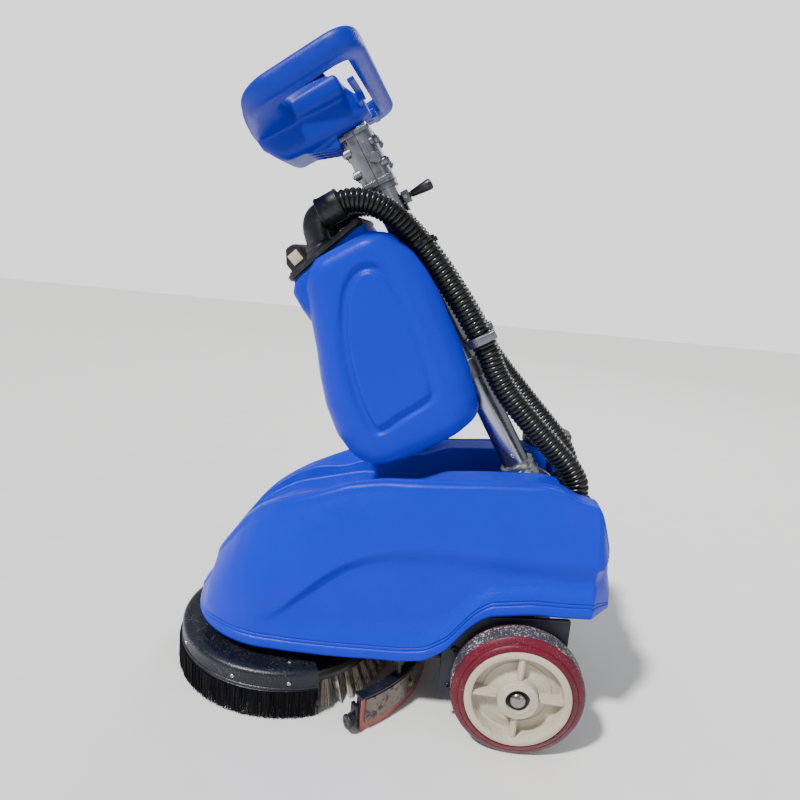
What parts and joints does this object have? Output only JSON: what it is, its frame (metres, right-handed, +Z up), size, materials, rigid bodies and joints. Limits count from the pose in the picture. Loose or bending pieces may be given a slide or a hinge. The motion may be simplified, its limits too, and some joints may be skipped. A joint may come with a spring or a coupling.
{
  "type": "floor scrubber machine",
  "caption": "Walk-behind floor scrubber with a round brush deck at the front, large rear wheels, an arc squeegee, a folding column, a recovery tank with hoses and a loop handle",
  "frame": {"origin": "on the floor, below the centre of the bounding box", "axes": "+Z up, -X is the machine's front (brush deck), -Y is its left side"},
  "size_m": [0.712, 0.4124, 0.9962],
  "materials": {
    "body_blue": "rotomoulded polyethylene with a fine orange-peel grain, satin",
    "black_plastic": "black moulded plastic, fine texture, satin",
    "black_steel": "black powder-coated steel",
    "cast_aluminium": "sand-blasted aluminium casting, dull",
    "tube_aluminium": "brushed anodised aluminium tube",
    "steel": "brushed stainless steel with light stains",
    "tyre_maroon": "maroon polyurethane tyre, dusty tread",
    "wheel_beige": "pale grey-beige moulded hub, slightly soiled",
    "hose_black": "black corrugated EVA hose, satin",
    "skirt_black": "black nylon skirt bristles",
    "tuft_pale": "pale used nylon brush tufts",
    "blade_rubber": "pinkish-red squeegee rubber, worn",
    "panel_black": "glossy black switch panel",
    "switch_red": "red rocker switch",
    "tank_natural": "natural polyethylene, translucent white",
    "motor_black": "black painted motor housing",
    "battery": "dark battery case",
    "float": "off-white float ball"
  },
  "bodies": {
    "root": {"body_shell": "body_blue", "chassis_frame": "black_steel", "axle": "steel", "deck_shroud": "black_plastic", "skirt_bristles": "skirt_black", "brush_gearbox": "cast_aluminium", "brush_motor": "motor_black", "battery_pack": "battery", "clean_water_tank": "tank_natural", "vacuum_motor": "motor_black", "pivot_bracket": "cast_aluminium", "pivot_pin": "steel", "hose_port_left": "black_plastic", "hose_port_right": "black_plastic", "hose_lower_left": "hose_black", "hose_lower_right": "hose_black"},
    "cap": {"filler_cap": "black_plastic"},
    "wheel_left": {"wheel_left_tyre": "tyre_maroon", "wheel_left_hub": "wheel_beige", "wheel_left_bearing": "steel"},
    "wheel_right": {"wheel_right_tyre": "tyre_maroon", "wheel_right_hub": "wheel_beige", "wheel_right_bearing": "steel"},
    "brush": {"brush_block": "black_plastic", "brush_tufts": "tuft_pale", "drive_hub": "steel"},
    "squeegee": {"squeegee_holder": "black_steel", "squeegee_blade_front": "blade_rubber", "squeegee_blade_rear": "blade_rubber", "squeegee_strap": "steel"},
    "roller_left": {"squeegee_roller_left": "black_plastic"},
    "roller_right": {"squeegee_roller_right": "black_plastic"},
    "column": {"column_foot": "cast_aluminium", "column_tube": "tube_aluminium", "clamp_front": "cast_aluminium", "clamp_rear": "cast_aluminium", "lever_bracket": "cast_aluminium", "lever_pin": "steel", "handle_shell": "body_blue", "switch_panel": "panel_black", "charge_gauge": "panel_black", "recovery_tank": "body_blue", "lid_gasket": "hose_black", "tank_lid": "black_plastic", "lid_box": "black_plastic", "float_cage": "black_plastic", "tank_bracket": "cast_aluminium", "hose_upper_left": "hose_black", "hose_upper_right": "hose_black", "lid_elbow_left": "black_plastic", "lid_elbow_right": "black_plastic", "hose_clip": "steel"},
    "lock_rod": {"lock_rod": "steel"},
    "lever": {"lever_arm": "black_steel", "lever_grip": "black_plastic"},
    "trigger": {"trigger_bar": "black_plastic"},
    "rocker_brush": {"rocker_brush": "switch_red"},
    "rocker_vacuum": {"rocker_vacuum": "panel_black"},
    "key": {"key_switch": "steel"},
    "float": {"float_ball": "float"}
  },
  "joints": [
    {"name": "column_fold", "type": "hinge", "parent": "root", "child": "column", "pos_m": [0.24, 0, 0.3435], "axis": [0, 1, 0], "range_deg": [0, 58], "deforming": ["hose_lower_left", "hose_lower_right"]},
    {"name": "wheel_left_spin", "type": "hinge", "parent": "root", "child": "wheel_left", "pos_m": [0.229, -0.178, 0.1], "axis": [0, 1, 0], "continuous": true},
    {"name": "wheel_right_spin", "type": "hinge", "parent": "root", "child": "wheel_right", "pos_m": [0.229, 0.178, 0.1], "axis": [0, 1, 0], "continuous": true},
    {"name": "brush_spin", "type": "hinge", "parent": "root", "child": "brush", "pos_m": [-0.163, 0, 0.05], "axis": [0, 0, 1], "continuous": true},
    {"name": "squeegee_lift", "type": "slide", "parent": "root", "child": "squeegee", "axis": [0, 0, 1], "range_m": [0, 0.02]},
    {"name": "roller_left_spin", "type": "hinge", "parent": "squeegee", "child": "roller_left", "pos_m": [-0.0175, -0.1938, 0.02], "axis": [0.766, 0.6428, 0], "continuous": true},
    {"name": "roller_right_spin", "type": "hinge", "parent": "squeegee", "child": "roller_right", "pos_m": [-0.0175, 0.1938, 0.02], "axis": [-0.766, 0.6428, 0], "continuous": true},
    {"name": "lever_pull", "type": "hinge", "parent": "column", "child": "lever", "pos_m": [-0.01634, 0, 0.80817], "axis": [0, 1, 0], "range_deg": [0, 15], "stiffness_Nm_per_rad": 2, "springref_deg": -17.19},
    {"name": "lock_rod_lift", "type": "slide", "parent": "column", "child": "lock_rod", "axis": [-0.527, 0, 0.8499], "range_m": [0, 0.0079]},
    {"name": "trigger_squeeze", "type": "hinge", "parent": "column", "child": "trigger", "pos_m": [-0.09066, 0, 0.92917], "axis": [0, 1, 0], "range_deg": [-12, 0], "stiffness_Nm_per_rad": 0.5, "springref_deg": 8.59},
    {"name": "rocker_brush_tilt", "type": "hinge", "parent": "column", "child": "rocker_brush", "pos_m": [-0.18518, -0.022, 0.94764], "axis": [0, 1, 0], "range_deg": [-8, 8]},
    {"name": "rocker_vacuum_tilt", "type": "hinge", "parent": "column", "child": "rocker_vacuum", "pos_m": [-0.18518, 0.022, 0.94764], "axis": [0, 1, 0], "range_deg": [-8, 8]},
    {"name": "key_turn", "type": "hinge", "parent": "column", "child": "key", "pos_m": [-0.15921, -0.022, 0.96079], "axis": [-0.527, 0, 0.8499], "range_deg": [0, 90]},
    {"name": "float_rise", "type": "slide", "parent": "column", "child": "float", "axis": [-0.6896, 0, 0.7242], "range_m": [0, 0.02]},
    {"name": "filler_cap_turn", "type": "hinge", "parent": "root", "child": "cap", "pos_m": [0.266, 0.116, 0.42], "axis": [0, 0, 1], "range_deg": [0, 120]}
  ]
}
